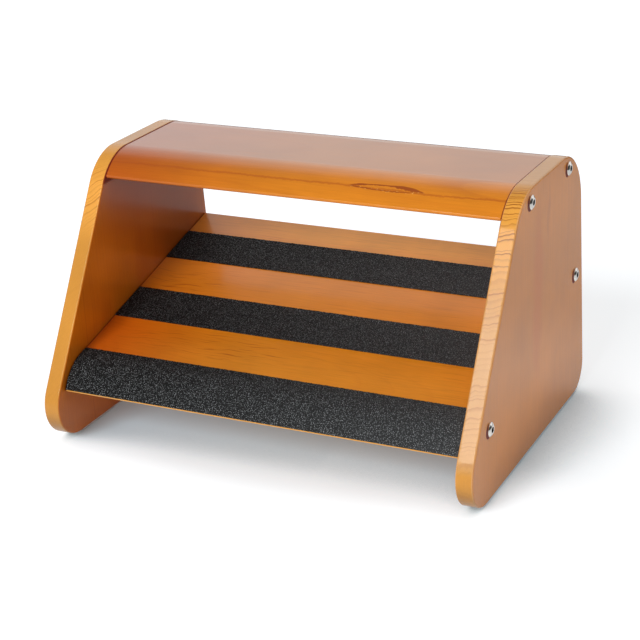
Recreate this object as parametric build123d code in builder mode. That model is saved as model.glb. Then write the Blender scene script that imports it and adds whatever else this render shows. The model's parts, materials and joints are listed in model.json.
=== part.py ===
from build123d import *
import os
from math import acos, cos, degrees, radians, sin, tan

# A wooden footrest: two side panels carry a level top board and a sloping foot board.
# Millimetres and degrees. +Z is up, -Y is the side the feet come from, and the origin
# is on the floor under the middle of the footrest.

# Side panels
OVERALL_WIDTH = 430.0
PANEL_THICKNESS = 16.0
PANEL_HEIGHT = 252.5
PANEL_DEPTH = 310.5
FRONT_LEAN = 30.9
REAR_LEAN = 5.0
BOTTOM_FRONT_RADIUS = 34.5
TOP_FRONT_RADIUS = 54.0
TOP_REAR_RADIUS = 56.5
BOTTOM_REAR_RADIUS = 25.5
PANEL_EDGE_RADIUS = 1.5

# Top board, which follows the panels' rounded top a little inside their edge;
# its bolts sit a little below the middle of its thickness
TOP_BOARD_THICKNESS = 22.0
TOP_BOARD_INSET = 0.4
TOP_BOARD_LIP_RADIUS = 2.0
TOP_BOLT_FRONT_EDGE = 34.7
TOP_BOLT_REAR_EDGE = 30.8
TOP_BOLT_DROP = 1.75

# Foot board; its height is that of its top face above the panels' bottom edge, at mid depth,
# and its bolts rise a little above the middle of its thickness
FOOT_BOARD_THICKNESS = 19.0
FOOT_BOARD_TILT = 13.8
FOOT_BOARD_HEIGHT = 103.8
FOOT_NOSE_RADIUS = 42.0
FOOT_NOSE_INSET = 7.8
FOOT_REAR_INSET = 0.5
FOOT_EDGE_RADIUS = 1.2
FOOT_BOLT_FRONT_EDGE = 33.0
FOOT_BOLT_REAR_EDGE = 20.5
FOOT_BOLT_RISE = 1.5

# Both boards' ends are eased where they meet the panels
BOARD_END_CHAMFER = 0.6

# Grip strips, spaced evenly over the foot board's top face and nose
STRIP_NAMES = ("grip_strip_rear", "grip_strip_middle", "grip_strip_front")
STRIP_WIDTH = 50.0
STRIP_THICKNESS = 1.0
STRIP_REAR_MARGIN = 38.5
STRIP_FRONT_MARGIN = 2.4
STRIP_END_GAP = 1.0

# Button-head bolts
BOLT_DIAMETER = 6.0
BOLT_PAST_NUT = 3.0
BOLT_TIP_CHAMFER = 0.8
HEAD_DIAMETER = 13.2
HEAD_HEIGHT = 2.6
HEAD_RIM_HEIGHT = 1.0
HEAD_FLAT_DIAMETER = 8.4
HEX_ACROSS_FLATS = 5.0
HEX_DEPTH = 2.2

# Barrel nuts, across the boards under each bolt's end
NUT_DIAMETER = 10.0
NUT_COVER = 2.5
NUT_FROM_BOARD_END = 26.0
NUT_SLOT_WIDTH = 1.6
NUT_SLOT_DEPTH = 1.2

# Clearances, each on the radius unless it is at a depth
BOLT_CLEARANCE = 0.25
THREAD_CLEARANCE = 0.05
NUT_CLEARANCE = 0.1
BORE_SPARE_DEPTH = 2.0

# Anti-slip strips under the panels
PAD_THICKNESS = 2.5
PAD_SIDE_INSET = 2.0
PAD_END_INSET = 2.0

SIDES = {"left": -1, "right": 1}

# Panel corners before rounding, seen from the right: y runs to the rear and z up
front_slope = tan(radians(FRONT_LEAN))
rear_slope = tan(radians(REAR_LEAN))
front_reach = BOTTOM_FRONT_RADIUS * (front_slope + 1 / cos(radians(FRONT_LEAN)) - 1)
rear_reach = BOTTOM_REAR_RADIUS * (rear_slope + 1 / cos(radians(REAR_LEAN)) - 1)
panel_top = PAD_THICKNESS + PANEL_HEIGHT
front_foot = Vector(0, -PANEL_DEPTH / 2 - front_reach, PAD_THICKNESS)
rear_foot = Vector(0, PANEL_DEPTH / 2 + rear_reach, PAD_THICKNESS)
front_inward = Vector(0, cos(radians(FRONT_LEAN)), -sin(radians(FRONT_LEAN)))
rear_inward = Vector(0, -cos(radians(REAR_LEAN)), -sin(radians(REAR_LEAN)))
board_end = OVERALL_WIDTH / 2 - PANEL_THICKNESS

with BuildSketch() as panel_outline:
    with BuildLine():
        FilletPolyline(
            (front_foot.Y, front_foot.Z),
            (front_foot.Y + PANEL_HEIGHT * front_slope, panel_top),
            (rear_foot.Y - PANEL_HEIGHT * rear_slope, panel_top),
            (rear_foot.Y, rear_foot.Z),
            radius=[BOTTOM_FRONT_RADIUS, TOP_FRONT_RADIUS, TOP_REAR_RADIUS, BOTTOM_REAR_RADIUS],
            close=True,
        )
    make_face()

# Top board profile: flat on top, rounded front and rear like the panels, with small lower lips
top_board_top = panel_top - TOP_BOARD_INSET
top_flat_front = front_foot.Y + PANEL_HEIGHT * front_slope
top_flat_front += TOP_FRONT_RADIUS * tan(radians(90 - FRONT_LEAN) / 2)
top_flat_rear = rear_foot.Y - PANEL_HEIGHT * rear_slope
top_flat_rear -= TOP_REAR_RADIUS * tan(radians(90 - REAR_LEAN) / 2)
front_nose_radius = TOP_FRONT_RADIUS - TOP_BOARD_INSET
rear_nose_radius = TOP_REAR_RADIUS - TOP_BOARD_INSET


def nose_turn(radius, thickness):
    """How far a rounded nose turns before it reaches the board's lower face."""
    return degrees(acos(1 - thickness / radius))


with BuildSketch() as top_profile:
    with BuildLine():
        top_flat = Line((top_flat_rear, top_board_top), (top_flat_front, top_board_top))
        top_front = JernArc(
            top_flat @ 1,
            (-1, 0),
            front_nose_radius,
            nose_turn(front_nose_radius, TOP_BOARD_THICKNESS),
        )
        top_rear = JernArc(
            top_flat @ 0,
            (1, 0),
            rear_nose_radius,
            -nose_turn(rear_nose_radius, TOP_BOARD_THICKNESS),
        )
        Line(top_front @ 1, top_rear @ 1)
    make_face()
    fillet(top_profile.vertices().group_by(Axis.Y)[0], TOP_BOARD_LIP_RADIUS)

# The foot board's slope: along it to the rear, and up square to it
slope_along = Vector(0, cos(radians(FOOT_BOARD_TILT)), sin(radians(FOOT_BOARD_TILT)))
slope_up = Vector(0, -sin(radians(FOOT_BOARD_TILT)), cos(radians(FOOT_BOARD_TILT)))
slope_origin = Vector(0, 0, PAD_THICKNESS + FOOT_BOARD_HEIGHT)


def slope_plane(x):
    """Sketch plane across the foot board at this x: along the slope, and up from its face."""
    return Plane(origin=slope_origin + Vector(x, 0, 0), x_dir=slope_along, z_dir=(1, 0, 0))


def distance_along(foot, inward, depth, clearance):
    """Where along the slope a point at this depth lies this far inside a panel's edge."""
    start = slope_origin - slope_up * depth - foot
    return (clearance - start.dot(inward)) / slope_along.dot(inward)


nose_start = distance_along(
    front_foot, front_inward, FOOT_NOSE_RADIUS, FOOT_NOSE_RADIUS + FOOT_NOSE_INSET
)
foot_rear = distance_along(rear_foot, rear_inward, FOOT_BOARD_THICKNESS, FOOT_REAR_INSET)

# Foot board surface from its rear edge over the nose, and the profile under it
with BuildLine() as foot_surface:
    flat = Line((foot_rear, 0), (nose_start, 0))
    nose = JernArc(
        flat @ 1, (-1, 0), FOOT_NOSE_RADIUS, nose_turn(FOOT_NOSE_RADIUS, FOOT_BOARD_THICKNESS)
    )

with BuildSketch() as foot_profile:
    with BuildLine():
        add(foot_surface.line)
        Polyline(nose @ 1, (foot_rear, -FOOT_BOARD_THICKNESS), flat @ 0)
    make_face()
    corners = foot_profile.vertices().sort_by_distance(flat @ 1)[1:]
    fillet(corners, FOOT_EDGE_RADIUS)

# Bolt seats: where each bolt's axis crosses the middle of the footrest, above the board's lower face
top_bolt_height = TOP_BOARD_THICKNESS / 2 - TOP_BOLT_DROP
top_bolt_z = top_board_top - TOP_BOARD_THICKNESS + top_bolt_height
top_seats = {
    "top_front": Vector(0, (top_front @ 1).X + TOP_BOLT_FRONT_EDGE, top_bolt_z),
    "top_rear": Vector(0, (top_rear @ 1).X - TOP_BOLT_REAR_EDGE, top_bolt_z),
}
foot_bolt_height = FOOT_BOARD_THICKNESS / 2 + FOOT_BOLT_RISE
foot_bolt_line = slope_origin - slope_up * (FOOT_BOARD_THICKNESS - foot_bolt_height)
foot_seats = {
    "foot_front": foot_bolt_line + slope_along * ((nose @ 1).X + FOOT_BOLT_FRONT_EDGE),
    "foot_rear": foot_bolt_line + slope_along * (foot_rear - FOOT_BOLT_REAR_EDGE),
}
seats = {**top_seats, **foot_seats}
seat_ups = {name: Vector(0, 0, 1) for name in top_seats} | {name: slope_up for name in foot_seats}

bolt_length = PANEL_THICKNESS + NUT_FROM_BOARD_END + NUT_DIAMETER / 2 + BOLT_PAST_NUT
bolt_bore_radius = BOLT_DIAMETER / 2 + BOLT_CLEARANCE
bolt_cover = min(top_bolt_height, FOOT_BOARD_THICKNESS - foot_bolt_height)
nut_length = 2 * (bolt_cover - NUT_COVER)


def nut_centre(side, seat):
    """Middle of the barrel nut behind this bolt seat."""
    return seat + Vector(side * (board_end - NUT_FROM_BOARD_END), 0, 0)


def make_panel(side):
    """A side panel with eased edges and four bolt holes."""
    with BuildPart() as panel:
        with BuildSketch(Plane.YZ.offset(side * board_end)):
            add(panel_outline.sketch)
        extrude(amount=side * PANEL_THICKNESS)
        fillet(panel.faces().filter_by(Axis.X).edges(), PANEL_EDGE_RADIUS)
        for seat in seats.values():
            outer_face = Plane(
                origin=seat + Vector(side * OVERALL_WIDTH / 2, 0, 0), z_dir=(side, 0, 0)
            )
            with Locations(outer_face):
                Hole(bolt_bore_radius, PANEL_THICKNESS)
    return panel


def make_board(profile, left_end, board_seats, up, bolt_height):
    """A board between the panels, bored for its four bolts and their barrel nuts."""
    with BuildPart() as board:
        with BuildSketch(left_end):
            add(profile.sketch)
        extrude(amount=2 * board_end)
        chamfer(board.faces().filter_by(Axis.X).edges(), BOARD_END_CHAMFER)
        for side in SIDES.values():
            for seat in board_seats.values():
                end = Plane(origin=seat + Vector(side * board_end, 0, 0), z_dir=(side, 0, 0))
                with Locations(end):
                    Hole(bolt_bore_radius, bolt_length - PANEL_THICKNESS + BORE_SPARE_DEPTH)
                underside = Plane(origin=nut_centre(side, seat) - up * bolt_height, z_dir=-up)
                with Locations(underside):
                    Hole(
                        NUT_DIAMETER / 2 + NUT_CLEARANCE,
                        bolt_height + nut_length / 2 + NUT_CLEARANCE,
                    )
    return board


def make_strip(start):
    """A grip strip laid along the foot board's surface from this distance off its rear edge."""
    surface = foot_surface.wire()
    with BuildPart() as strip:
        with BuildSketch(slope_plane(-board_end + STRIP_END_GAP)):
            with BuildLine():
                add(surface.trim(start / surface.length, (start + STRIP_WIDTH) / surface.length))
                offset(amount=STRIP_THICKNESS, side=Side.RIGHT)
            make_face()
        extrude(amount=2 * (board_end - STRIP_END_GAP))
    return strip


def make_bolt(side, seat):
    """A button-head bolt with a hex socket, seated on the panel's outer face."""
    head_seat = seat + Vector(side * OVERALL_WIDTH / 2, 0, 0)
    outward = Vector(side, 0, 0)
    shank = BOLT_DIAMETER / 2
    with BuildPart() as bolt:
        with BuildSketch(Plane(origin=head_seat, x_dir=(0, 0, 1), z_dir=(0, side, 0))):
            with BuildLine():
                dome = RadiusArc(
                    (HEAD_DIAMETER / 2, HEAD_RIM_HEIGHT),
                    (HEAD_FLAT_DIAMETER / 2, HEAD_HEIGHT),
                    -HEAD_DIAMETER / 2,
                )
                Polyline(
                    dome @ 1,
                    (0, HEAD_HEIGHT),
                    (0, -bolt_length),
                    (shank - BOLT_TIP_CHAMFER, -bolt_length),
                    (shank, -bolt_length + BOLT_TIP_CHAMFER),
                    (shank, 0),
                    (HEAD_DIAMETER / 2, 0),
                    dome @ 0,
                )
            make_face()
        revolve(axis=Axis(head_seat, outward))
        with BuildSketch(Plane(origin=head_seat + outward * HEAD_HEIGHT, z_dir=outward)):
            RegularPolygon(HEX_ACROSS_FLATS / 2, 6, major_radius=False)
        extrude(amount=-HEX_DEPTH, mode=Mode.SUBTRACT)
    return bolt


def make_nut(side, seat, up):
    """A barrel nut with its cross thread and the slot that turns it in line."""
    centre = nut_centre(side, seat)
    lower_end = Plane(origin=centre - up * (nut_length / 2), x_dir=(1, 0, 0), z_dir=up)
    with BuildPart() as nut:
        with BuildSketch(lower_end):
            Circle(NUT_DIAMETER / 2)
        extrude(amount=nut_length)
        with BuildSketch(lower_end):
            Rectangle(NUT_DIAMETER, NUT_SLOT_WIDTH)
        extrude(amount=NUT_SLOT_DEPTH, mode=Mode.SUBTRACT)
        with BuildSketch(Plane(origin=centre, z_dir=(1, 0, 0))):
            Circle(BOLT_DIAMETER / 2 + THREAD_CLEARANCE)
        extrude(amount=NUT_DIAMETER, both=True, mode=Mode.SUBTRACT)
    return nut


def make_pad(side):
    """An anti-slip strip along the flat part of a panel's bottom edge."""
    front = -PANEL_DEPTH / 2 + BOTTOM_FRONT_RADIUS + PAD_END_INSET
    rear = PANEL_DEPTH / 2 - BOTTOM_REAR_RADIUS - PAD_END_INSET
    with BuildPart() as pad:
        with BuildSketch():
            with Locations((side * (board_end + PANEL_THICKNESS / 2), (front + rear) / 2)):
                SlotOverall(rear - front, PANEL_THICKNESS - 2 * PAD_SIDE_INSET, rotation=90)
        extrude(amount=PAD_THICKNESS)
    return pad


def save(piece, label):
    """Name a finished piece and write it to its own file."""
    piece.part.label = label
    export_step(piece.part, f"parts/{label}.step")


os.makedirs("parts", exist_ok=True)

top_board = make_board(
    top_profile, Plane.YZ.offset(-board_end), top_seats, Vector(0, 0, 1), top_bolt_height
)
save(top_board, "top_board")

foot_board = make_board(
    foot_profile, slope_plane(-board_end), foot_seats, slope_up, foot_bolt_height
)
save(foot_board, "foot_board")

strip_room = foot_surface.wire().length - STRIP_REAR_MARGIN - STRIP_FRONT_MARGIN - STRIP_WIDTH
strip_pitch = strip_room / (len(STRIP_NAMES) - 1)
for index, strip_name in enumerate(STRIP_NAMES):
    save(make_strip(STRIP_REAR_MARGIN + index * strip_pitch), strip_name)

for side_name, side_sign in SIDES.items():
    save(make_panel(side_sign), f"{side_name}_side_panel")
    save(make_pad(side_sign), f"anti_slip_strip_{side_name}")
    for seat_name, bolt_seat in seats.items():
        save(make_bolt(side_sign, bolt_seat), f"bolt_{side_name}_{seat_name}")
        save(
            make_nut(side_sign, bolt_seat, seat_ups[seat_name]),
            f"barrel_nut_{side_name}_{seat_name}",
        )
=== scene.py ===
import json
import math
import random

import bpy
from mathutils import Matrix, Vector

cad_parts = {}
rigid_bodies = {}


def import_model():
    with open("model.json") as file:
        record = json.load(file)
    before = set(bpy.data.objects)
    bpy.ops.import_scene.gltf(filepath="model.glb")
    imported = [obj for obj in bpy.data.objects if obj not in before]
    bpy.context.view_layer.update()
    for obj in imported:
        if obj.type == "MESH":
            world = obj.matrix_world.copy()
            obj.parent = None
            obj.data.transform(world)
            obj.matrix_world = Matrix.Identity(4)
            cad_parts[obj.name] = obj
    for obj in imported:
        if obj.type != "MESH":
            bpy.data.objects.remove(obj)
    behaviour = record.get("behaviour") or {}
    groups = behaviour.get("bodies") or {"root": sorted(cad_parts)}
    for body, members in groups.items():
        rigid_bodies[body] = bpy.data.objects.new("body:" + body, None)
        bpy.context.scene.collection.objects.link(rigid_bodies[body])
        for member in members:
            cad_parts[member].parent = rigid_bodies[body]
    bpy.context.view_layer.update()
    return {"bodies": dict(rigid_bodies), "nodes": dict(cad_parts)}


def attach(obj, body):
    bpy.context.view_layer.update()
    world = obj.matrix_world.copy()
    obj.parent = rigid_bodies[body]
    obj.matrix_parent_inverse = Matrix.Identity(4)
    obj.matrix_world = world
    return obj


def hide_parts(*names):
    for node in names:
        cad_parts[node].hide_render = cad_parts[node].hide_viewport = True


MM = 0.001
RISE = (0.0, 1.0)
FALL = (1.0, 0.0)
WHITE = (1.0, 1.0, 1.0, 1.0)

# Camera
CAMERA_PLACE = (0.66486, -1.34339, 0.69986)
CAMERA_AZIMUTH = 26.2554
CAMERA_ELEVATION = 21.8517
CAMERA_ROLL = -2.3421
CAMERA_LENS = 95.142
CAMERA_SENSOR = 36.0

# Lamps
KEY_TOWARDS = (-0.17, -0.87, 0.46)
KEY_SPREAD = 30.0
KEY_STRENGTH = 2.6
SOFTBOX_TOWARDS = (-0.275, -0.775, 0.569)
SOFTBOX_SPREAD = 13.5
SOFTBOX_STRENGTH = 0.30

# White room: levels of light, and the parts of a direction's x, y and z between which they change
ROOM_LEVEL = 0.42
CEILING_LEVEL = 0.14
CEILING_Z = (0.20, 0.80)
REAR_WALL_LEVEL = 1.15
REAR_WALL_RIGHT = 0.45
REAR_WALL_X = (-0.60, 0.35)
REAR_WALL_Y = (0.25, 0.55)
REAR_WALL_Z = (0.70, 0.86)
SIDE_FILL = 0.25
SIDE_FILL_X = (0.15, 0.75)
DOORWAY_SHADE = 0.93
DOORWAY_X = (0.72, 0.84)
DOORWAY_Z = (0.30, 0.45)

# Floor in metres: AIR is the share of open air above it between which a level or tint changes, so its
# glow paints a shadow
FLOOR_HALF = 9.0
FLOOR_WHITE = (0.82, 0.86, 0.88, 1.0)
FLOOR_OPEN_TINT = (0.58, 0.62, 0.65, 1.0)
FLOOR_SHADE_TINT = (0.48, 0.62, 0.70, 1.0)
FLOOR_TINT_AIR = (0.2, 0.8)
FLOOR_GLOW = 0.51
FLOOR_SHADE_GLOW = 0.085
FLOOR_GLOW_AIR = (0.32, 0.56)
FLOOR_OPEN_GLOW = 0.15
FLOOR_OPEN_AIR = (0.56, 0.80)
FLOOR_SHADE_REACH = 0.25
FLOOR_SHADE_TOWARDS = (-0.40, -0.30, 0.87)
FLOOR_IN_GLOSS = 0.50

# Floor: painted light beside the right panel's front end, painted shadow before the foot board, and the
# table's end in reflections
BESIDE_TINT = (0.54, 0.63, 0.69, 1.0)
BESIDE_GLOW = 0.24
BESIDE_AIR = (0.34, 0.70)
BESIDE_X = (0.206, 0.222)
BESIDE_Y = (-0.11, -0.02)
BEFORE_SHADE = 0.78
BEFORE_PLACE = ((0.0, -0.125), 0.25, 0.06)
BEFORE_FADE = (0.3, 1.0)
TABLE_DIM = 0.30
TABLE_DIM_REACH = (0.33, 0.50)
TABLE_END_REACH = (0.85, 1.25)
TABLE_END_DARK = (0.08, 0.08, 0.08, 1.0)

# Foot board surface that the grip strips lie on, in millimetres
FOOT_TILT = 13.8
FOOT_HEIGHT = 106.3
FOOT_REAR = 146.25
FOOT_NOSE_START = -115.74
FOOT_NOSE_RADIUS = 42.0

# Grip strips in millimetres, and how far a grain may shift, as a share of a cell
STRIP_STARTS = {"grip_strip_rear": 38.5, "grip_strip_middle": 144.86, "grip_strip_front": 251.22}
STRIP_WIDTH = 50.0
STRIP_HALF_LENGTH = 198.0
STRIP_HEIGHT = 0.94
STRIP_CELL = 1.1
STRIP_GRIT = 0.45
STRIP_SHIFT = 0.3

# Noise: ranges of its values that are used
NOISE_WIDE = (0.25, 0.75)
NOISE_USUAL = (0.3, 0.7)
NOISE_NARROW = (0.35, 0.65)

# Wood grain: scales of noise along and across the fibres, and the growth rings
WANDER_SCALES = (0.0035, 0.012)
RIPPLE_SCALES = (0.02, 0.09)
FIBRE_SCALES = (0.022, 1.1)
FIBRE_DETAIL = 4.0
FIBRE_ROUGHNESS = 0.6
CROWDING = 3.0
CROWDING_SCALE = 0.45
RING_PEAK = 0.92
RING_WEAKEST = 0.25
RING_STRENGTH_SCALE = 0.83
RING_STRENGTH_ROW = 5.0
TONE_SCALE = 0.011
TONE_RANGE = (0.86, 1.08)

# Lacquer
GLOSS_SPREAD = 0.16
MATT_ROUGHNESS = 0.5
WOOD_RELIEF = 0.000022
WOOD_BUMP = 0.5
RING_RELIEF = 0.5

# Panels: colours
EDGE_LIGHT = (0.59, 0.255, 0.034, 1.0)
EDGE_DARK = (0.34, 0.095, 0.008, 1.0)
# Painted highlight on the right panel's straight front edge and top edge, and the rings within it
PAINTED_HIGHLIGHT_LIGHT = (0.575, 0.285, 0.084, 1.0)
PAINTED_HIGHLIGHT_DARK = (0.37, 0.130, 0.029, 1.0)
CROWN_LIGHT = (0.72, 0.320, 0.050, 1.0)
CROWN_DARK = (0.215, 0.045, 0.003, 1.0)
# Painted highlight on the right panel's rounded corner between edge and face
CORNER_HIGHLIGHT = (0.70, 0.370, 0.150, 1.0)
JOINT_DARK = (0.240, 0.020, 0.001, 1.0)
BOLT_SHADOW_DARK = (0.170, 0.004, 0.000, 1.0)
# Red of stains, of the top board's grain line and of painted shade; the deep red is painted shade only
STAIN_AND_SHADE_RED = (0.36, 0.066, 0.003, 1.0)
PAINTED_SHADE_DEEP = (0.200, 0.030, 0.001, 1.0)
STAIN_OCHRE = (0.66, 0.175, 0.005, 1.0)

# Panels: grain, gloss and the turns of the surface at which an edge becomes a face
PANEL_DRIFT = 5.0
PANEL_WAVES = 4.0
PANEL_RING_START = 0.48
PANEL_STREAKS = (0.95, 1.04)
PANEL_ROUGHNESS = 0.22
PANEL_COAT_ROUGHNESS = 0.20
FACE_RINGS = 0.30
FACE_TURN = (0.45, 0.95)
# Turns over which the corner's painted highlight rises and falls
CORNER_RISE_TURN = (0.10, 0.35)
CORNER_FALL_TURN = (0.75, 0.97)
CORNER_AMOUNT = 0.6

# Panels: heights and depths in millimetres at which the edges change
FOOT_Z = (40.0, 64.0)
# Heights over which the painted highlight on the front edge rises and falls
HIGHLIGHT_RISE_Z = (42.0, 50.0)
HIGHLIGHT_FALL_Z = (130.0, 215.0)
CROWN_Z = (175.0, 205.0)
CROWN_TOP_Z = (243.0, 252.0)
TOP_EDGE_Y = (-12.0, 20.0)
# Share of the painted highlight on the top edge
TOP_EDGE_HIGHLIGHT = 0.5
TOP_RINGS_Y = (-5.0, 20.0)
TOP_RINGS = 0.25
RINGS_ABOVE = 0.2

# Panels: stains and painted shade, painted shade between the pieces, groove beside the top board, outer
# faces and painted shadows beside the bolts
STAIN_WAVE = 14.0
STAIN_WAVE_SCALE = 0.03
STAIN_FADE = (0.25, 1.0)
STAIN_TURN = (0.3, 0.8)
CLOSED_REACH = 0.12
CLOSED_AIR = (0.35, 0.75)
CLOSED_SHADE = 0.68
GROOVE_X = (199.3, 200.3)
GROOVE_Z = (226.0, 230.0)
OUTSIDE_X = (214.4, 214.8)
BOLT_SEATS = ((-8.5, 241.85), (97.7, 241.85), (-112.6, 70.4), (124.0, 128.5))
# Painted shadow beside each bolt head: its size, its shift towards the front and its fade
BOLT_SHADOW_RADIUS = 7.7
BOLT_SHADOW_SHIFT = (-2.5, -0.6)
BOLT_SHADOW_FADE = (0.84, 1.0)
BOLT_SHADOW_AMOUNT = 0.96

# Panels: each one's own look; a stain or a patch of painted shade is its place (z, y), reach, width,
# amount and colour
RIGHT_PANEL = {
    "light": (0.73, 0.238, 0.012, 1.0),
    "dark": (0.54, 0.140, 0.008, 1.0),
    "pith": (245.0, -400.0),
    "ring_gap": 2.7,
    "lean": 0.0,
    "seed": 3.1,
    "coat": 0.10,
    # How much painted highlight the edges and corner get; it also lets the crown's dark rings show
    "paleness": 1.0,
    "crown_top": 0.25,
    "rings": 1.0,
    "rings_at_foot": 0.2,
    "rings_below": 0.42,
    "rings_rise_z": (20.0, 215.0),
    "rings_fall_z": (262.0, 280.0),
    "stains_and_shade": (
        ((150.0, 12.0), 110.0, 19.0, 0.85, STAIN_OCHRE),
        ((215.0, 42.0), 34.0, 7.0, 0.22, STAIN_AND_SHADE_RED),
        # darker along the bottom
        ((10.0, 0.0), 60.0, 190.0, 0.05, STAIN_AND_SHADE_RED),
    ),
}
LEFT_PANEL = {
    "light": (0.70, 0.180, 0.006, 1.0),
    "dark": (0.48, 0.105, 0.004, 1.0),
    "pith": (-82.0, -350.0),
    "ring_gap": 2.3,
    "lean": 0.0,
    "seed": 8.4,
    "coat": 0.06,
    "paleness": 0.0,
    "crown_top": 1.0,
    "rings": 0.65,
    "rings_at_foot": 1.0,
    "rings_below": 0.12,
    "rings_rise_z": (186.0, 206.0),
    "rings_fall_z": (234.0, 246.0),
    "stains_and_shade": (
        # painted shade: the inner face darker towards the rear, between the boards
        ((160.0, 85.0), 110.0, 95.0, 0.62, PAINTED_SHADE_DEEP),
        # painted shade: the inner face darker under the top board
        ((220.0, 0.0), 75.0, 90.0, 0.70, STAIN_AND_SHADE_RED),
        ((120.0, 10.0), 90.0, 20.0, 0.25, STAIN_AND_SHADE_RED),
        ((60.0, -60.0), 80.0, 16.0, 0.25, STAIN_AND_SHADE_RED),
    ),
}

# Boards: grain, gloss and the dark line at each end
BOARD_LIGHT = (0.68, 0.225, 0.010, 1.0)
BOARD_DARK = (0.44, 0.095, 0.005, 1.0)
BOARD_DRIFT = 14.0
BOARD_WAVES = 0.5
BOARD_RING_START = 0.54
BOARD_STREAKS = (0.90, 1.07)
BOARD_ROUGHNESS = 0.32
BOARD_COAT_ROUGHNESS = 0.10
END_TURN = (0.5, 0.95)
END_CONTRAST = 0.9
JOINT_SHIFT = 0.5
JOINT_X = (198.0, 198.7)
TOP_BOARD = {
    "pith": (40.0, 60.0),
    "ring_gap": 4.2,
    "lean": 0.03,
    "seed": 1.7,
    "coat": 0.54,
    "contrast": 0.26,
}
FOOT_BOARD = {
    "pith": (-66.0, -42.0),
    "ring_gap": 1.9,
    "lean": 0.07,
    "seed": 5.3,
    "coat": 0.34,
    "contrast": 0.08,
}

# Top board: tones of its flat face, its rounded front and its left end, painted as shade: the flat face
# and the left end deeper
TOP_SHADE_TINT = (0.71, 0.66, 0.60, 1.0)
NOSE_LIT_TINT = (0.97, 0.93, 0.88, 1.0)
LEFT_END_SHADE_TINT = (0.86, 0.63, 0.44, 1.0)
NOSE_END_SHADE_TINT = (0.66, 0.42, 0.20, 1.0)
TOP_FACE_Y = (-6.0, 6.0)
TOP_FACE_Z = (244.0, 253.0)
TOP_LEFT_X = (-210.0, 20.0)

# Grain line along the top board's front, in millimetres
LINE_Z = 246.4
LINE_AMOUNT = 0.50
LINE_WIDTH = (0.15, 1.0)
LINE_WAVE = 3.0
LINE_WAVE_SCALE = 0.012
LINE_WAVE_ROW = 3.0
LINE_RAGGED = 1.6
LINE_RAGGED_SCALE = 0.22

# Resin pocket on that line: sizes in millimetres, places along it as shares of its reach
RESIN_DARK = (0.270, 0.040, 0.001, 1.0)
RESIN_FRONT_Y = (0.0, 12.0)
RESIN_X = 87.0
RESIN_Z = 246.75
RESIN_REACH = 37.0
RESIN_FALL = -0.006
RESIN_HUMP = 1.9
RESIN_SAG = 1.25
RESIN_ROUGH = 0.9
RESIN_ROUGH_SCALE = 0.35
RESIN_RIGHT = (0.0, 0.45)
RESIN_RIGHT_THICK = (0.12, 0.80)
RESIN_LEFT = (-0.85, -0.45)
RESIN_LEFT_THICK = (0.60, 0.0)
RESIN_TAPER = (0.62, 1.0)
RESIN_ENDS = (0.92, 1.0)
RESIN_UPPER_FADE = (0.0, 0.45)
RESIN_UPPER_AMOUNT = 0.85
RESIN_LOWER_FADE = (0.15, 0.55)
RESIN_LOWER_AMOUNT = 0.8
RESIN_LOWER_END = (0.3, 0.7)
RESIN_LOWER_LEFT_OVER = 0.2
CRUMB_LIGHT = (0.86, 0.48, 0.13, 1.0)
CRUMB_SCALES = (0.35, 1.3)
CRUMB_RANGE = (0.58, 0.66)
CRUMB_FADE = (0.4, 1.1)
CRUMB_AMOUNT = 0.8

# Foot board: tones of its left end, painted as shade, of its front and rear lands, painted as light, and
# the lip under its nose
FOOT_END_SHADE_TINT = (0.75, 0.38, 0.20, 1.0)
FOOT_LEFT_X = (-210.0, -20.0)
FOOT_LEFT_Y = (-70.0, 20.0)
FOOT_LEFT_REAR = 0.38
FRONT_LAND_LIGHT_TINT = (1.05, 1.12, 2.00, 1.0)
FRONT_LAND_Y = (-90.0, -55.0)
REAR_LAND_LIGHT_TINT = (1.34, 1.64, 2.40, 1.0)
REAR_LAND_Y = (92.0, 122.0)
LIP_LIGHT = (0.66, 0.300, 0.050, 1.0)
LIP_Y = (-134.0, -130.0)
LIP_Z = (54.0, 57.0)

# Dark threads in the foot board, strongest in two zones of place, reach and width
THREAD_DARK = (0.360, 0.068, 0.003, 1.0)
THREAD_SCALES = (0.022, 0.55)
THREAD_ROW = 2.0
THREAD_DETAIL = 3.0
THREAD_ROUGHNESS = 0.6
THREAD_RANGE = (0.54, 0.66)
THREAD_WAVE = 18.0
THREAD_WAVE_SCALE = 0.014
THREAD_WAVE_ROW = 7.0
THREAD_ZONES = (((-85.0, -72.0), 130.0, 24.0), ((-160.0, 20.0), 60.0, 30.0))
THREAD_ZONE_FADE = (0.4, 1.0)
THREAD_AMOUNTS = (0.85, 0.20)

# Grit tape: grains painted pale as glints, and a painted sheen towards the right end and on the front
GRIT_DARK = (0.002, 0.002, 0.002, 1.0)
GRIT_SHEEN_GREY = (0.030, 0.031, 0.032, 1.0)
GRIT_GLINT_LIGHT = (0.660, 0.690, 0.710, 1.0)
GRIT_FRONT_SHEEN = (0.004, 0.004, 0.004, 1.0)
GRIT_FRONT_Y = (-112.0, -98.0)
GRIT_ENDS_X = (-200.0, 200.0)
GRIT_SHEEN_POWER = 1.5
GRIT_ROUGHNESS = (0.40, 0.75)
GRIT_SPECULAR = 0.14
GRIT_RELIEF = 0.0005
GRIT_BUMP = 0.8
GRIT_BUMP_SCALE = 1.6
GRAIN_SCALES = (0.50, 0.90, 0.90)
GRAIN_TIP = (0.06, 0.42)
GRAIN_GLINT = (0.25, 1.20)
GRAIN_AMOUNT = 0.44
GRAIN_NOSE_SHEEN = 1.65
GRAIN_NOSE_Y = (-124.0, -96.0)

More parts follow.
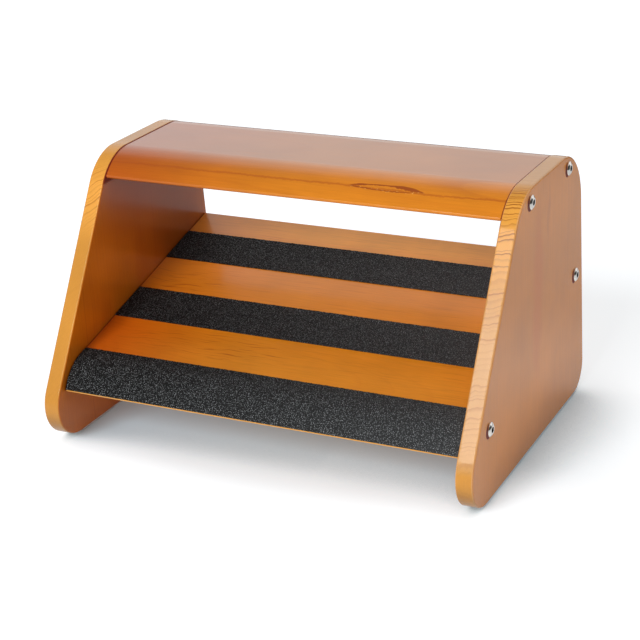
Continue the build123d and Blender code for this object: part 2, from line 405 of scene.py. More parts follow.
# Bolts
NICKEL_DARK = (0.80, 0.76, 0.71, 1.0)
NICKEL_LIGHT = (0.95, 0.91, 0.86, 1.0)
NICKEL_CLOUD_SCALE = 0.35
NICKEL_ROUGHNESS = (0.08, 0.22)
NICKEL_RELIEF = 0.00002
NICKEL_BUMP = 0.3
SCRATCH_STRETCH = (0.3, 6.0)
SCRATCH_SCALE = 1.2
RECESS_SHADE_DARK = (0.020, 0.018, 0.016, 1.0)
RECESS_REACH = 0.004
RECESS_AIR = (0.50, 0.97)

# Plain finishes
ZINC = {
    "dark": (0.42, 0.42, 0.40, 1.0),
    "light": (0.58, 0.57, 0.53, 1.0),
    "cloud_scale": 0.4,
    "cloud_detail": 3.0,
    "metallic": 1.0,
    "roughness": (0.3, 0.45),
    "relief_scale": 2.0,
    "relief": 0.00004,
    "bump": 0.4,
}
RUBBER = {
    "dark": (0.50, 0.50, 0.49, 1.0),
    "light": (0.66, 0.66, 0.65, 1.0),
    "cloud_scale": 0.5,
    "cloud_detail": 4.0,
    "metallic": 0.0,
    "roughness": (0.65, 0.85),
    "relief_scale": 3.0,
    "relief": 0.00008,
    "bump": 0.5,
}


class Nodes:
    """Short ways to add nodes to a node tree."""

    # Places of the colour inputs and of the colour result on a mix node
    MIX_INPUTS = (0, 6, 7)
    MIX_RESULT = 2

    def __init__(self, tree):
        self.tree = tree

    def put(self, node, key, value):
        """Links one input of a node, or sets its value."""
        socket = node.inputs[key]
        if isinstance(value, bpy.types.NodeSocket):
            self.tree.links.new(value, socket)
        else:
            socket.default_value = value

    def node(self, kind, **inputs):
        """A new node with inputs given by name."""
        made = self.tree.nodes.new("ShaderNode" + kind)
        for key, value in inputs.items():
            self.put(made, key.replace("_", " "), value)
        return made

    def row(self, kind, *values, **settings):
        """First output of a new node with inputs given in order."""
        made = self.tree.nodes.new("ShaderNode" + kind)
        for setting, choice in settings.items():
            setattr(made, setting, choice)
        for index, value in enumerate(values):
            self.put(made, index, value)
        return made.outputs[0]

    def math(self, operation, *values):
        return self.row("Math", *values, operation=operation)

    def vector(self, operation, *values):
        return self.row("VectorMath", *values, operation=operation)

    def times(self, first, *others):
        """Product of all the values."""
        product = first
        for other in others:
            product = self.math("MULTIPLY", product, other)
        return product

    def length(self, first, second):
        """Distance of a place in a plane from 0."""
        squares = self.math("ADD", self.math("POWER", first, 2.0), self.math("POWER", second, 2.0))
        return self.math("SQRT", squares)

    def join(self, x, y, z):
        return self.node("CombineXYZ", X=x, Y=y, Z=z).outputs[0]

    def grey(self, value):
        return self.join(value, value, value)

    def split(self, vector):
        parts = self.node("SeparateXYZ", Vector=vector)
        return parts.outputs[0], parts.outputs[1], parts.outputs[2]

    def noise(self, vector, scale, detail=2.0, roughness=0.5):
        made = self.node("TexNoise", Vector=vector, Scale=scale, Detail=detail, Roughness=roughness)
        return made.outputs["Fac"]

    def swing(self, vector, scale, detail=2.0):
        """Noise to both sides of 0."""
        return self.math("SUBTRACT", self.noise(vector, scale, detail), 0.5)

    def span(self, value, limits, results=RISE, smooth=True):
        """Turns a value between two limits into one between two results, clamped."""
        kind = "SMOOTHSTEP" if smooth else "LINEAR"
        return self.row("MapRange", value, *limits, *results, interpolation_type=kind, clamp=True)

    def blend(self, amount, first, second, kind="MIX"):
        """Colour between two others."""
        made = self.tree.nodes.new("ShaderNodeMix")
        made.data_type = "RGBA"
        made.blend_type = kind
        for index, value in zip(self.MIX_INPUTS, (amount, first, second)):
            self.put(made, index, value)
        return made.outputs[self.MIX_RESULT]

    def tint(self, colour, tint, amount=1.0):
        """Colour multiplied by a tint, wholly or in part."""
        return self.blend(amount, colour, tint, "MULTIPLY")


class Paint(Nodes):
    """A material and its nodes."""

    def __init__(self, name):
        self.material = bpy.data.materials.new(name)
        self.material.use_nodes = True
        super().__init__(self.material.node_tree)
        self.tree.nodes.clear()

    def place(self):
        """Object place in millimetres."""
        coords = self.node("TexCoord")
        scale = 1.0 / MM
        return self.vector("MULTIPLY", coords.outputs["Object"], (scale, scale, scale))

    def normal(self):
        """Which way the surface faces, as x, y and z."""
        return self.split(self.node("TexCoord").outputs["Normal"])

    def open_air(self, reach, own_only=False):
        """Node for the share of open air round a place, within a reach in metres."""
        made = self.node("AmbientOcclusion", Distance=reach)
        made.only_local = own_only
        return made

    def bump(self, height, distance, strength):
        return self.node("Bump", Height=height, Distance=distance, Strength=strength).outputs[0]

    def finish(self, shader):
        self.node("OutputMaterial", Surface=shader)
        return self.material


def lens_distance(paint, along, across, centre, reach, width):
    """Distance from a lens's centre: 0 there, 1 on its outline."""
    first = paint.math("DIVIDE", paint.math("SUBTRACT", along, centre[0]), reach)
    second = paint.math("DIVIDE", paint.math("SUBTRACT", across, centre[1]), width)
    return paint.length(first, second)


def stretched(paint, along, across, scales, seed=0.0):
    """A place stretched along the fibres, for noise."""
    return paint.join(
        paint.times(along, scales[0]),
        paint.math("MULTIPLY_ADD", across[0], scales[1], seed),
        paint.times(across[1], scales[1]),
    )


def wood_grain(paint, along, across, look, drift, waves, ring_start):
    """Growth rings round a far pith line: returns the amount of late wood, and the fibres."""
    seed = look["seed"]
    wander = paint.swing(stretched(paint, along, across, WANDER_SCALES, seed), scale=1.0)
    ripple = paint.swing(stretched(paint, along, across, RIPPLE_SCALES, seed), scale=1.0)
    first = paint.math("MULTIPLY_ADD", wander, drift, across[0])
    leaned = paint.math("MULTIPLY_ADD", along, look["lean"], across[1])
    second = paint.math("MULTIPLY_ADD", ripple, waves, leaned)
    off_first = paint.math("SUBTRACT", first, look["pith"][0])
    off_second = paint.math("SUBTRACT", second, look["pith"][1])
    radius = paint.math("DIVIDE", paint.length(off_first, off_second), look["ring_gap"])
    crowding = paint.noise(paint.join(radius, seed, 0.0), CROWDING_SCALE, detail=1.0)
    turns = paint.math("MULTIPLY_ADD", crowding, CROWDING, radius)
    part = paint.math("FRACT", turns)
    number = paint.math("FLOOR", turns)
    each_ring = paint.join(number, seed, RING_STRENGTH_ROW)
    strength = paint.noise(each_ring, RING_STRENGTH_SCALE, detail=0.0)
    late = paint.times(
        paint.span(part, (ring_start, RING_PEAK)),
        paint.span(part, (RING_PEAK, 1.0), FALL),
        paint.span(strength, NOISE_NARROW, (RING_WEAKEST, 1.0)),
    )
    along_fibres = stretched(paint, along, across, FIBRE_SCALES)
    fibre = paint.noise(along_fibres, scale=1.0, detail=FIBRE_DETAIL, roughness=FIBRE_ROUGHNESS)
    return late, fibre


def wood_shader(paint, colour, fibre, late, matt, coat, coat_roughness, roughness):
    """Lacquered wood: rings and fibres stand out a little, and matt places lose their gloss."""
    rough = paint.math("MULTIPLY_ADD", fibre, GLOSS_SPREAD, roughness - GLOSS_SPREAD / 2)
    rough = paint.math("MULTIPLY_ADD", matt, MATT_ROUGHNESS, rough)
    height = paint.math("MULTIPLY_ADD", late, RING_RELIEF, fibre)
    shader = paint.node(
        "BsdfPrincipled",
        Base_Color=colour,
        Roughness=rough,
        Normal=paint.bump(height, WOOD_RELIEF, WOOD_BUMP),
    )
    shader.inputs["Coat Weight"].default_value = coat
    shader.inputs["Coat Roughness"].default_value = coat_roughness
    return shader.outputs[0]


def streaked(paint, colour, fibre, shades):
    """Lighter and darker fibres."""
    return paint.tint(colour, paint.grey(paint.span(fibre, NOISE_WIDE, shades, smooth=False)))


def toned(paint, colour, spot, seed):
    """Slow changes of tone over the wood, so that no part of it is flat."""
    shifted = paint.vector("ADD", spot, (seed, seed * 2.0, 0.0))
    cloud = paint.noise(shifted, TONE_SCALE, detail=3.0)
    return paint.tint(colour, paint.grey(paint.span(cloud, NOISE_USUAL, TONE_RANGE, smooth=False)))


def panel_edge(paint, y, z, late, look):
    """Colour of a panel's narrow edges, where the growth rings are cut across, with a painted highlight
    on the right panel's front and top edges.
    """
    on_top = paint.span(y, TOP_EDGE_Y)
    low = paint.times(paint.span(z, HIGHLIGHT_RISE_Z), paint.span(z, HIGHLIGHT_FALL_Z, FALL))
    # painted highlight: paler on the straight front edge between the arcs, and on the top edge
    pale = paint.times(paint.math("MULTIPLY_ADD", on_top, TOP_EDGE_HIGHLIGHT, low), look["paleness"])
    crown = paint.times(
        paint.span(z, CROWN_Z),
        paint.math("SUBTRACT", 1.0, on_top),
        paint.span(z, CROWN_TOP_Z, (1.0, look["crown_top"])),
    )
    light = paint.blend(crown, EDGE_LIGHT, CROWN_LIGHT)
    light = paint.blend(pale, light, PAINTED_HIGHLIGHT_LIGHT)
    dark = paint.blend(paint.times(crown, look["paleness"]), EDGE_DARK, CROWN_DARK)
    dark = paint.blend(pale, dark, PAINTED_HIGHLIGHT_DARK)
    rings = paint.times(
        late,
        paint.span(z, look["rings_rise_z"], (look["rings_below"], 1.0)),
        paint.span(z, look["rings_fall_z"], (1.0, RINGS_ABOVE)),
        look["rings"],
        paint.span(z, FOOT_Z, (look["rings_at_foot"], 1.0)),
        paint.span(y, TOP_RINGS_Y, (1.0, TOP_RINGS)),
    )
    return paint.blend(rings, light, dark)


def stained_and_shaded(paint, colour, spot, sideways, stains_and_shade):
    """Stains along the fibres, and patches of painted shade, on the face towards the right."""
    _, y, z = paint.split(spot)
    shown = paint.span(sideways, STAIN_TURN)
    wavy = paint.math("MULTIPLY_ADD", paint.swing(spot, STAIN_WAVE_SCALE), STAIN_WAVE, y)
    for centre, reach, width, amount, stain in stains_and_shade:
        away = lens_distance(paint, z, wavy, centre, reach, width)
        mark = paint.times(paint.span(away, STAIN_FADE, FALL), shown, amount)
        colour = paint.blend(mark, colour, stain)
    return colour


def panel_wood(name, look):
    """Wood of a side panel, with shade in the groove beside the top board, painted shade between the
    pieces and a painted shadow beside each bolt; the right panel's edges get a painted highlight.
    """
    paint = Paint(name)
    spot = paint.place()
    x, y, z = paint.split(spot)
    late, fibre = wood_grain(paint, z, (x, y), look, PANEL_DRIFT, PANEL_WAVES, PANEL_RING_START)
    sideways = paint.normal()[0]
    turn = paint.math("ABSOLUTE", sideways)
    on_face = paint.blend(paint.times(late, FACE_RINGS), look["light"], look["dark"])
    on_edge = panel_edge(paint, y, z, late, look)
    colour = paint.blend(paint.span(turn, FACE_TURN), on_edge, on_face)
    # painted highlight on the rounded corner between edge and face
    corner = paint.times(
        paint.span(turn, CORNER_RISE_TURN),
        paint.span(turn, CORNER_FALL_TURN, FALL),
        CORNER_AMOUNT * look["paleness"],
    )
    colour = paint.blend(corner, colour, CORNER_HIGHLIGHT)
    colour = streaked(paint, colour, fibre, PANEL_STREAKS)
    colour = toned(paint, colour, spot, look["seed"])
    # stains, and on the left panel patches of painted shade
    colour = stained_and_shaded(paint, colour, spot, sideways, look["stains_and_shade"])
    # painted shade where the other pieces close in
    air = paint.open_air(CLOSED_REACH).outputs["AO"]
    colour = paint.tint(colour, paint.grey(paint.span(air, CLOSED_AIR, (CLOSED_SHADE, 1.0))))
    from_middle = paint.math("ABSOLUTE", x)
    groove = paint.times(paint.span(from_middle, GROOVE_X, FALL), paint.span(z, GROOVE_Z))
    colour = paint.blend(groove, colour, JOINT_DARK)
    matt = groove
    outside = paint.span(from_middle, OUTSIDE_X)
    # painted shadow on the outer face beside each bolt head, with its gloss taken off
    for seat_y, seat_z in BOLT_SEATS:
        centre = (seat_y + BOLT_SHADOW_SHIFT[0], seat_z + BOLT_SHADOW_SHIFT[1])
        away = lens_distance(paint, y, z, centre, BOLT_SHADOW_RADIUS, BOLT_SHADOW_RADIUS)
        bolt_shadow = paint.times(paint.span(away, BOLT_SHADOW_FADE, (BOLT_SHADOW_AMOUNT, 0.0)), outside)
        colour = paint.blend(bolt_shadow, colour, BOLT_SHADOW_DARK)
        matt = paint.math("MAXIMUM", matt, bolt_shadow)
    gloss = (look["coat"], PANEL_COAT_ROUGHNESS, PANEL_ROUGHNESS)
    return paint.finish(wood_shader(paint, colour, fibre, late, matt, *gloss))


def board_wood(name, look, marks):
    """Wood of a board between the panels, with its own marks and a dark line at each end."""
    paint = Paint(name)
    spot = paint.place()
    x, y, z = paint.split(spot)
    late, fibre = wood_grain(paint, x, (y, z), look, BOARD_DRIFT, BOARD_WAVES, BOARD_RING_START)
    turn = paint.math("ABSOLUTE", paint.normal()[0])
    rings = paint.times(late, paint.span(turn, END_TURN, (look["contrast"], END_CONTRAST)))
    colour = paint.blend(rings, BOARD_LIGHT, BOARD_DARK)
    colour = streaked(paint, colour, fibre, BOARD_STREAKS)
    colour = toned(paint, colour, spot, look["seed"])
    colour = marks(paint, colour, spot)
    from_middle = paint.math("ABSOLUTE", paint.math("SUBTRACT", x, JOINT_SHIFT))
    joint = paint.span(from_middle, JOINT_X)
    colour = paint.blend(joint, colour, JOINT_DARK)
    gloss = (look["coat"], BOARD_COAT_ROUGHNESS, BOARD_ROUGHNESS)
    return paint.finish(wood_shader(paint, colour, fibre, late, joint, *gloss))


def top_board_marks(paint, colour, spot):
    """Painted shade on the flat face and towards the left end, and a grain line and a resin pocket in
    front.
    """
    x, y, z = paint.split(spot)
    flat = paint.times(paint.span(y, TOP_FACE_Y), paint.span(z, TOP_FACE_Z))
    # painted shade: deeper towards the left end
    end_shade = paint.blend(flat, NOSE_END_SHADE_TINT, LEFT_END_SHADE_TINT)
    colour = paint.tint(colour, end_shade, paint.span(x, TOP_LEFT_X, FALL))
    # painted shade: the flat face deeper than the rounded front
    colour = paint.tint(colour, paint.blend(flat, NOSE_LIT_TINT, TOP_SHADE_TINT))
    front = paint.span(y, RESIN_FRONT_Y, FALL)
    colour = grain_line(paint, colour, spot, front)
    return resin_pocket(paint, colour, spot, front)


def grain_line(paint, colour, spot, front):
    """A dark line of grain along the rounded front of the top board."""
    x, _, z = paint.split(spot)
    wave = paint.swing(paint.join(x, 0.0, LINE_WAVE_ROW), LINE_WAVE_SCALE, detail=1.0)
    ragged = paint.swing(spot, LINE_RAGGED_SCALE, detail=3.0)
    level = paint.math("MULTIPLY_ADD", ragged, LINE_RAGGED, z)
    level = paint.math("MULTIPLY_ADD", wave, LINE_WAVE, level)
    off_line = paint.math("ABSOLUTE", paint.math("SUBTRACT", level, LINE_Z))
    line = paint.times(paint.span(off_line, LINE_WIDTH, (LINE_AMOUNT, 0.0)), front)
    return paint.blend(line, colour, STAIN_AND_SHADE_RED)


def resin_pocket(paint, colour, spot, front):
    """A dark lens of resin on the grain line, with pale crumbs along its lower side."""
    x, _, z = paint.split(spot)
    from_centre = paint.math("SUBTRACT", x, RESIN_X)
    along = paint.math("DIVIDE", from_centre, RESIN_REACH)
    either_way = paint.math("ABSOLUTE", along)
    inside = paint.times(paint.span(either_way, RESIN_ENDS, FALL), front)
    hump = paint.math("SUBTRACT", 1.0, paint.math("POWER", along, 2.0))
    middle = paint.math("MULTIPLY_ADD", from_centre, RESIN_FALL, RESIN_Z)
    rough = paint.swing(spot, RESIN_ROUGH_SCALE, detail=4.0)
    height = paint.math("SUBTRACT", paint.math("ADD", rough, z), middle)
    over = paint.math("ABSOLUTE", paint.math("MULTIPLY_ADD", hump, -RESIN_HUMP, height))
    under = paint.math("ABSOLUTE", paint.math("MULTIPLY_ADD", hump, RESIN_SAG, height))
    right_thick = paint.span(along, RESIN_RIGHT, RESIN_RIGHT_THICK)
    left_thick = paint.span(along, RESIN_LEFT, RESIN_LEFT_THICK)
    thick = paint.math("MULTIPLY_ADD", rough, RESIN_ROUGH, paint.math("ADD", right_thick, left_thick))
    thick = paint.times(thick, paint.span(either_way, RESIN_TAPER, FALL))
    upper = paint.span(paint.math("SUBTRACT", over, thick), RESIN_UPPER_FADE, (RESIN_UPPER_AMOUNT, 0.0))
    lower = paint.times(
        paint.span(under, RESIN_LOWER_FADE, (RESIN_LOWER_AMOUNT, 0.0)),
        paint.span(along, RESIN_LOWER_END, (1.0, RESIN_LOWER_LEFT_OVER)),
    )
    outline = paint.times(paint.math("MAXIMUM", upper, lower), inside)
    grain = paint.join(paint.times(x, CRUMB_SCALES[0]), 0.0, paint.times(z, CRUMB_SCALES[1]))
    crumbs = paint.times(
        paint.span(paint.noise(grain, scale=1.0), CRUMB_RANGE),
        paint.span(under, CRUMB_FADE, (CRUMB_AMOUNT, 0.0)),
        inside,
    )
    colour = paint.blend(crumbs, colour, CRUMB_LIGHT)
    return paint.blend(outline, colour, RESIN_DARK)


def foot_board_marks(paint, colour, spot):
    """Painted shade towards the left end, painted light on the lands, dark threads, and a light lip
    under the nose.
    """
    x, y, z = paint.split(spot)
    # painted shade: deeper towards the left end, less at the rear
    left_shade = paint.times(
        paint.span(x, FOOT_LEFT_X, FALL),
        paint.span(y, FOOT_LEFT_Y, (1.0, FOOT_LEFT_REAR)),
    )
    colour = paint.tint(colour, FOOT_END_SHADE_TINT, left_shade)
    wave = paint.noise(paint.join(x, 0.0, THREAD_WAVE_ROW), THREAD_WAVE_SCALE)
    wavy = paint.math("MULTIPLY_ADD", wave, THREAD_WAVE, y)
    thread = paint.join(
        paint.times(x, THREAD_SCALES[0]),
        paint.times(wavy, THREAD_SCALES[1]),
        THREAD_ROW,
    )
    threads = paint.noise(thread, scale=1.0, detail=THREAD_DETAIL, roughness=THREAD_ROUGHNESS)
    threads = paint.span(threads, THREAD_RANGE)
    zones = [lens_distance(paint, x, y, *zone) for zone in THREAD_ZONES]
    nearest = paint.math("MINIMUM", *zones)
    threads = paint.times(threads, paint.span(nearest, THREAD_ZONE_FADE, THREAD_AMOUNTS))
    colour = paint.blend(threads, colour, THREAD_DARK)
    # painted light: paler and bluer front and rear lands
    colour = paint.tint(colour, FRONT_LAND_LIGHT_TINT, paint.span(y, FRONT_LAND_Y, FALL))
    colour = paint.tint(colour, REAR_LAND_LIGHT_TINT, paint.span(y, REAR_LAND_Y))
    lip = paint.times(paint.span(z, LIP_Z, FALL), paint.span(y, LIP_Y, FALL))
    return paint.blend(lip, colour, LIP_LIGHT)


def grit_tape(name):
    """Black tape with grains painted pale as glints, and a painted sheen: greyer towards its right end,
    paler on the nose.
    """
    paint = Paint(name)
    spot = paint.place()
    x, y, z = paint.split(spot)
    leaned = paint.join(
        paint.times(paint.math("ADD", x, y), GRAIN_SCALES[0]),
        paint.times(paint.math("SUBTRACT", x, y), GRAIN_SCALES[1]),
        paint.times(z, GRAIN_SCALES[2]),
    )
    grains = paint.node("TexVoronoi", Vector=leaned, Scale=1.0)
    shine = paint.node("SeparateColor", Color=grains.outputs["Color"])
    tips = paint.span(grains.outputs["Distance"], GRAIN_TIP, FALL)
    # painted glints on the grain tips
    glint = paint.span(shine.outputs[0], RISE, GRAIN_GLINT, smooth=False)
    # painted sheen: more glints on the nose
    nose = paint.span(y, GRAIN_NOSE_Y, (GRAIN_NOSE_SHEEN, 1.0))
    # painted sheen: greyer towards the right end and on the front
    sheen_rightward = paint.span(x, GRIT_ENDS_X, smooth=False)
    base = paint.blend(paint.math("POWER", sheen_rightward, GRIT_SHEEN_POWER), GRIT_DARK, GRIT_SHEEN_GREY)
    base = paint.blend(paint.span(y, GRIT_FRONT_Y, FALL), base, GRIT_FRONT_SHEEN, "ADD")
    colour = paint.blend(paint.times(tips, glint, nose, GRAIN_AMOUNT), base, GRIT_GLINT_LIGHT)
    height = paint.math("ADD", tips, paint.noise(spot, GRIT_BUMP_SCALE))
    shader = paint.node(
        "BsdfPrincipled",
        Base_Color=colour,
        Roughness=paint.span(shine.outputs[1], RISE, GRIT_ROUGHNESS, smooth=False),
        Normal=paint.bump(height, GRIT_RELIEF, GRIT_BUMP),
    )
    shader.inputs["Specular IOR Level"].default_value = GRIT_SPECULAR
    return paint.finish(shader.outputs[0])


def bolt_plating(name):
    """Bright nickel with fine scratches, with painted shade in the socket."""
    paint = Paint(name)
    spot = paint.place()
    x, y, z = paint.split(spot)
    cloud = paint.noise(spot, NICKEL_CLOUD_SCALE, detail=3.0)
    brushed = paint.join(paint.times(x, SCRATCH_STRETCH[0]), y, paint.times(z, SCRATCH_STRETCH[1]))
    scratch = paint.noise(brushed, SCRATCH_SCALE, detail=3.0)
    colour = paint.blend(cloud, NICKEL_DARK, NICKEL_LIGHT)
    # painted shade where the bolt's own shape closes in, as in the socket
    air = paint.open_air(RECESS_REACH, own_only=True).outputs["AO"]
    colour = paint.blend(paint.span(air, RECESS_AIR, FALL), colour, RECESS_SHADE_DARK)
    shader = paint.node(
        "BsdfPrincipled",
        Base_Color=colour,
        Metallic=1.0,
        Roughness=paint.span(scratch, NOISE_USUAL, NICKEL_ROUGHNESS, smooth=False),
        Normal=paint.bump(scratch, NICKEL_RELIEF, NICKEL_BUMP),
    )
    return paint.finish(shader.outputs[0])


def plain_finish(name, look):
    """An even finish with clouds of tone and a fine relief."""
    paint = Paint(name)
    spot = paint.place()
    cloud = paint.noise(spot, look["cloud_scale"], look["cloud_detail"])
    shader = paint.node(
        "BsdfPrincipled",
        Base_Color=paint.blend(cloud, look["dark"], look["light"]),
        Metallic=look["metallic"],
        Roughness=paint.span(cloud, NOISE_USUAL, look["roughness"], smooth=False),
        Normal=paint.bump(paint.noise(spot, look["relief_scale"]), look["relief"], look["bump"]),
    )
    return paint.finish(shader.outputs[0])


def foot_surface(distance, lift):
    """Place (y, z) in metres on the foot board's upper face, measured along it from its rear end."""
    tilt = math.radians(FOOT_TILT)
    flat = FOOT_REAR - FOOT_NOSE_START
    if distance <= flat:
        u = FOOT_REAR - distance
        v = lift
    else:
        turn = (distance - flat) / FOOT_NOSE_RADIUS
        u = FOOT_NOSE_START - (FOOT_NOSE_RADIUS + lift) * math.sin(turn)
        v = (FOOT_NOSE_RADIUS + lift) * math.cos(turn) - FOOT_NOSE_RADIUS
    y = u * math.cos(tilt) - v * math.sin(tilt)
    z = u * math.sin(tilt) + v * math.cos(tilt) + FOOT_HEIGHT
    return y * MM, z * MM


def grip_strip(name, start):
    """One strip of grit tape as a closed sheet with a rough top that follows the foot board."""
    rows = round(STRIP_WIDTH / STRIP_CELL)
    columns = round(2 * STRIP_HALF_LENGTH / STRIP_CELL)
    dice = random.Random(name)
    places = []
    for layer in range(2):
        for row in range(rows + 1):
            for column in range(columns + 1):
                s = start + STRIP_WIDTH * row / rows
                x = -STRIP_HALF_LENGTH + 2 * STRIP_HALF_LENGTH * column / columns
                lift = 0.0
                if layer == 1:
                    lift = STRIP_HEIGHT + STRIP_GRIT * dice.uniform(-0.5, 0.5)
                    inside = 0 < row < rows and 0 < column < columns
                    if inside:
                        s += dice.uniform(-STRIP_SHIFT, STRIP_SHIFT) * STRIP_CELL
                        x += dice.uniform(-STRIP_SHIFT, STRIP_SHIFT) * STRIP_CELL
                y, z = foot_surface(s, lift)
                places.append((x * MM, y, z))
    wide = columns + 1
    layer_size = wide * (rows + 1)
    faces = []
    for row in range(rows):
        for column in range(columns):
            a = row * wide + column
            b = a + wide
            faces.append((a, a + 1, b + 1, b))
            a += layer_size
            b += layer_size
            faces.append((a, b, b + 1, a + 1))
    rim = list(range(wide))
    rim += [row * wide + columns for row in range(1, rows + 1)]
    rim += [rows * wide + column for column in range(columns - 1, -1, -1)]
    rim += [row * wide for row in range(rows - 1, 0, -1)]
    for here, there in zip(rim, rim[1:] + rim[:1]):
        faces.append((here, here + layer_size, there + layer_size, there))
    mesh = bpy.data.meshes.new(name + "_relief")
    mesh.from_pydata(places, [], faces)
    mesh.update()
    piece = bpy.data.objects.new(name + "_relief", mesh)
    bpy.context.collection.objects.link(piece)
    return piece


def add_camera():
    """The camera, turned by its azimuth, elevation and roll."""
    azimuth = math.radians(CAMERA_AZIMUTH)
    elevation = math.radians(CAMERA_ELEVATION)
    back = Vector((
        math.sin(azimuth) * math.cos(elevation),
        -math.cos(azimuth) * math.cos(elevation),
        math.sin(elevation),
    ))
    right = Vector((math.cos(azimuth), math.sin(azimuth), 0.0))
    up = back.cross(right)
    turn = Matrix((right, up, back)).transposed().to_4x4()
    roll = Matrix.Rotation(math.radians(CAMERA_ROLL), 4, "Z")
    data = bpy.data.cameras.new("camera")
    data.lens = CAMERA_LENS
    data.sensor_width = CAMERA_SENSOR
    camera = bpy.data.objects.new("camera", data)
    camera.matrix_world = Matrix.Translation(CAMERA_PLACE) @ turn @ roll
    bpy.context.collection.objects.link(camera)
    bpy.context.scene.camera = camera


def add_lamp(name, towards, spread, strength, glossy):
    """A wide far lamp: parallel light with a soft edge to its shadows."""
    data = bpy.data.lights.new(name, "SUN")
    data.angle = math.radians(spread)
    data.energy = strength
    lamp = bpy.data.objects.new(name, data)
    lamp.rotation_euler = (-Vector(towards)).to_track_quat("-Z", "Y").to_euler()
    lamp.visible_glossy = glossy
    bpy.context.collection.objects.link(lamp)


def floor_paint(name):
    """White floor that glows where it is seen, so that its shadows stay pale; the glow falls where
    little open air is above and before the foot board, as painted shadow, and rises beside the right
    panel's front end, as painted light; reflections see it end.
    """
    paint = Paint(name)
    x, y, _ = paint.split(paint.node("TexCoord").outputs["Object"])
    sky = paint.open_air(FLOOR_SHADE_REACH)
    paint.put(sky, "Normal", paint.join(*FLOOR_SHADE_TOWARDS))
    air = sky.outputs["AO"]
    # painted light beside the right panel's front end
    beside = paint.times(paint.span(x, BESIDE_X), paint.span(y, BESIDE_Y, FALL))
    shade_tint = paint.blend(beside, FLOOR_SHADE_TINT, BESIDE_TINT)
    tint = paint.blend(paint.span(air, FLOOR_TINT_AIR), shade_tint, FLOOR_OPEN_TINT)
    # the glow falls with the open air above, which paints the floor's shadow
    level = paint.span(air, FLOOR_GLOW_AIR, (FLOOR_SHADE_GLOW, FLOOR_GLOW), smooth=False)
    level = paint.math("ADD", level, paint.span(air, FLOOR_OPEN_AIR, (0.0, FLOOR_OPEN_GLOW)))
    beside_level = paint.span(air, BESIDE_AIR, (BESIDE_GLOW, 0.0))
    level = paint.math("MULTIPLY_ADD", beside, beside_level, level)
    # painted shadow before the foot board
    before = lens_distance(paint, x, y, *BEFORE_PLACE)
    level = paint.times(level, paint.span(before, BEFORE_FADE, (BEFORE_SHADE, 1.0)))
    plain = paint.node("BsdfDiffuse", Color=FLOOR_WHITE).outputs[0]
    tinted = paint.node("BsdfDiffuse", Color=tint).outputs[0]
    glow = paint.node("Emission", Color=WHITE, Strength=level).outputs[0]
    glowing = paint.row("AddShader", tinted, glow)
    path = paint.node("LightPath")
    in_gloss = path.outputs["Is Glossy Ray"]
    shown = paint.math("MAXIMUM", path.outputs["Is Camera Ray"], paint.times(in_gloss, FLOOR_IN_GLOSS))
    shown = paint.math("MAXIMUM", shown, path.outputs["Is Transmission Ray"])
    seen = paint.row("MixShader", shown, plain, glowing)
    reach = paint.length(x, y)
    dimmer = paint.span(reach, TABLE_DIM_REACH, (0.0, TABLE_DIM))
    far = paint.math("MAXIMUM", dimmer, paint.span(reach, TABLE_END_REACH))
    room = paint.node("BsdfDiffuse", Color=TABLE_END_DARK).outputs[0]
    return paint.finish(paint.row("MixShader", paint.times(far, in_gloss), seen, room))


def add_floor():
    """A wide flat floor."""
    mesh = bpy.data.meshes.new("floor")
    corners = [(x * FLOOR_HALF, y * FLOOR_HALF, 0.0) for x, y in ((-1, -1), (1, -1), (1, 1), (-1, 1))]
    mesh.from_pydata(corners, [], [(0, 1, 2, 3)])
    floor = bpy.data.objects.new("floor", mesh)
    bpy.context.collection.objects.link(floor)
    mesh.materials.append(floor_paint("floor_white"))


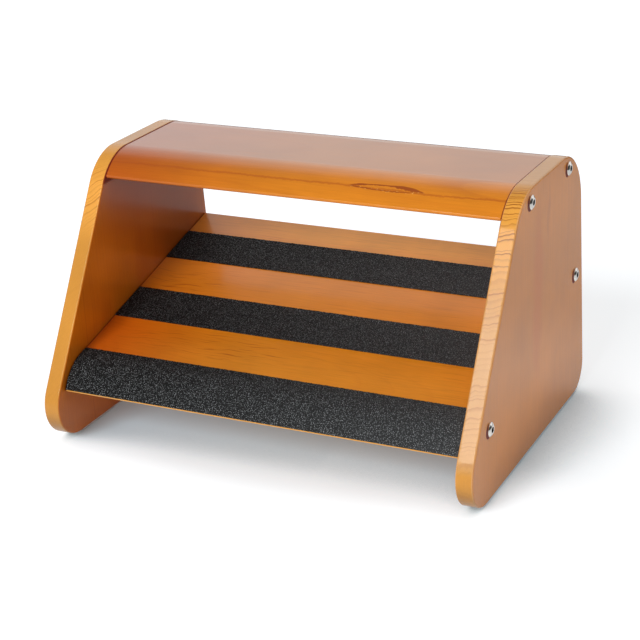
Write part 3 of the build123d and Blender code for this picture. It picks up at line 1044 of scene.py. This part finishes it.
def add_world():
    """A white room: bright rear wall, dim ceiling, fill at the right, and a doorway in reflections."""
    world = bpy.data.worlds.new("white_room")
    world.use_nodes = True
    room = Nodes(world.node_tree)
    x, y, z = room.split(room.node("TexCoord").outputs["Generated"])
    rear_wall = room.times(
        room.span(x, REAR_WALL_X, (1.0, REAR_WALL_RIGHT)),
        room.span(y, REAR_WALL_Y, (0.0, REAR_WALL_LEVEL - ROOM_LEVEL)),
        room.span(z, REAR_WALL_Z, FALL),
    )
    level = room.math("ADD", rear_wall, room.span(z, CEILING_Z, (ROOM_LEVEL, CEILING_LEVEL)))
    level = room.math("ADD", level, room.span(x, SIDE_FILL_X, (0.0, SIDE_FILL)))
    path = room.node("LightPath")
    doorway = room.times(
        path.outputs["Is Glossy Ray"],
        room.span(x, DOORWAY_X, (0.0, DOORWAY_SHADE)),
        room.span(z, DOORWAY_Z, FALL),
    )
    level = room.times(level, room.math("SUBTRACT", 1.0, doorway))
    background = world.node_tree.nodes["Background"]
    room.put(background, "Color", WHITE)
    room.put(background, "Strength", room.math("MAXIMUM", level, path.outputs["Is Camera Ray"]))
    bpy.context.scene.world = world


def wear(node, material):
    """Gives a CAD object the finished material in every slot."""
    for slot in node.material_slots:
        slot.material = material


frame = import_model()

finishes = {
    "right_side_panel": panel_wood("right_panel_wood", RIGHT_PANEL),
    "left_side_panel": panel_wood("left_panel_wood", LEFT_PANEL),
    "top_board": board_wood("top_board_wood", TOP_BOARD, top_board_marks),
    "foot_board": board_wood("foot_board_wood", FOOT_BOARD, foot_board_marks),
    "bolt_": bolt_plating("bolt_plating_nickel"),
    "barrel_nut_": plain_finish("nut_steel_zinc", ZINC),
    "anti_slip_": plain_finish("strip_rubber_grey", RUBBER),
}
for beginning, finish in finishes.items():
    for name, node in frame["nodes"].items():
        if name.startswith(beginning):
            wear(node, finish)

tape = grit_tape("grit_tape_black")
body = next(iter(frame["bodies"]))
for name, start in STRIP_STARTS.items():
    piece = grip_strip(name, start)
    piece.data.materials.append(tape)
    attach(piece, body)
    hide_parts(name)

add_floor()
add_world()
add_lamp("key", KEY_TOWARDS, KEY_SPREAD, KEY_STRENGTH, glossy=False)
add_lamp("softbox", SOFTBOX_TOWARDS, SOFTBOX_SPREAD, SOFTBOX_STRENGTH, glossy=True)
add_camera()
bpy.context.scene.view_settings.view_transform = "Standard"
